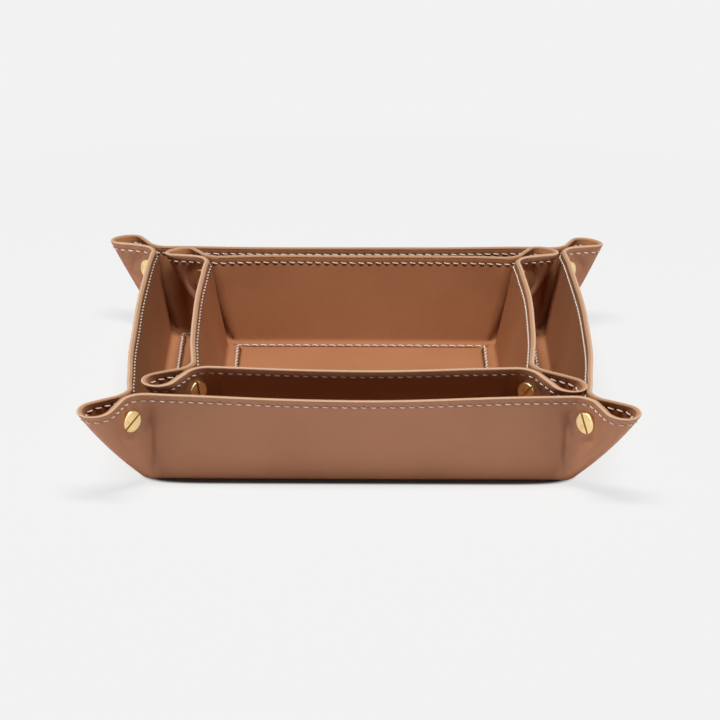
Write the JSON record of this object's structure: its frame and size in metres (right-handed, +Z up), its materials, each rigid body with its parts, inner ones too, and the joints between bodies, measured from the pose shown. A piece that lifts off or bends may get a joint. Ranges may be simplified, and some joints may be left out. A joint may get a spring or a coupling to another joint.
{
  "type": "nested valet trays",
  "caption": "Nested square leather valet trays with pinched corner ears clamped by brass screw posts, sewn rims and a sewn floor panel.",
  "frame": {"origin": "centre of the outer tray's underside", "axes": "+Z up out of the open top, -Y towards the pictured front, +X to the right"},
  "size_m": [0.246, 0.246, 0.0462],
  "materials": {
    "shell_leather": "smooth tan leather, soft satin",
    "lining_leather": "smooth tan leather with a light burnished edge",
    "board": "hidden stiff board",
    "thread": "cream waxed thread",
    "brass": "satin brass"
  },
  "bodies": {
    "outer_front_left_screw": {"outer_front_left_screw": "brass"},
    "outer_front_right_screw": {"outer_front_right_screw": "brass"},
    "outer_back_left_screw": {"outer_back_left_screw": "brass"},
    "outer_back_right_screw": {"outer_back_right_screw": "brass"},
    "outer_tray": {"outer_leather_shell": "shell_leather", "outer_leather_lining": "lining_leather", "outer_base_board": "board", "outer_front_wall_board": "board", "outer_back_wall_board": "board", "outer_left_wall_board": "board", "outer_right_wall_board": "board", "outer_rim_face_thread": "thread", "outer_rim_lining_thread": "thread", "outer_base_face_thread": "thread", "outer_base_lining_thread": "thread", "outer_front_left_post": "brass", "outer_front_right_post": "brass", "outer_back_left_post": "brass", "outer_back_right_post": "brass"},
    "inner_front_left_screw": {"inner_front_left_screw": "brass"},
    "inner_front_right_screw": {"inner_front_right_screw": "brass"},
    "inner_back_left_screw": {"inner_back_left_screw": "brass"},
    "inner_back_right_screw": {"inner_back_right_screw": "brass"},
    "inner_tray": {"inner_leather_shell": "shell_leather", "inner_leather_lining": "lining_leather", "inner_base_board": "board", "inner_front_wall_board": "board", "inner_back_wall_board": "board", "inner_left_wall_board": "board", "inner_right_wall_board": "board", "inner_rim_face_thread": "thread", "inner_rim_lining_thread": "thread", "inner_base_face_thread": "thread", "inner_base_lining_thread": "thread", "inner_front_left_post": "brass", "inner_front_right_post": "brass", "inner_back_left_post": "brass", "inner_back_right_post": "brass"}
  },
  "joints": [
    {"name": "inner_tray_lift", "type": "slide", "parent": "outer_tray", "child": "inner_tray", "axis": [0, 0, 1], "range_m": [0, 0.06]},
    {"name": "outer_front_left_screw_turn", "type": "hinge", "parent": "outer_tray", "child": "outer_front_left_screw", "pos_m": [-0.10167, -0.10167, 0.0318], "axis": [0.7071, -0.7071, 0], "continuous": true},
    {"name": "outer_front_right_screw_turn", "type": "hinge", "parent": "outer_tray", "child": "outer_front_right_screw", "pos_m": [0.10167, -0.10167, 0.0318], "axis": [-0.7071, -0.7071, 0], "continuous": true},
    {"name": "outer_back_left_screw_turn", "type": "hinge", "parent": "outer_tray", "child": "outer_back_left_screw", "pos_m": [-0.10167, 0.10167, 0.0318], "axis": [0.7071, 0.7071, 0], "continuous": true},
    {"name": "outer_back_right_screw_turn", "type": "hinge", "parent": "outer_tray", "child": "outer_back_right_screw", "pos_m": [0.10167, 0.10167, 0.0318], "axis": [-0.7071, 0.7071, 0], "continuous": true},
    {"name": "inner_front_left_screw_turn", "type": "hinge", "parent": "inner_tray", "child": "inner_front_left_screw", "pos_m": [-0.07402, -0.07422, 0.0352], "axis": [0.7071, -0.7071, 0], "continuous": true},
    {"name": "inner_front_right_screw_turn", "type": "hinge", "parent": "inner_tray", "child": "inner_front_right_screw", "pos_m": [0.07722, -0.07422, 0.0352], "axis": [-0.7071, -0.7071, 0], "continuous": true},
    {"name": "inner_back_left_screw_turn", "type": "hinge", "parent": "inner_tray", "child": "inner_back_left_screw", "pos_m": [-0.07402, 0.07702, 0.0352], "axis": [0.7071, 0.7071, 0], "continuous": true},
    {"name": "inner_back_right_screw_turn", "type": "hinge", "parent": "inner_tray", "child": "inner_back_right_screw", "pos_m": [0.07722, 0.07702, 0.0352], "axis": [-0.7071, 0.7071, 0], "continuous": true}
  ]
}
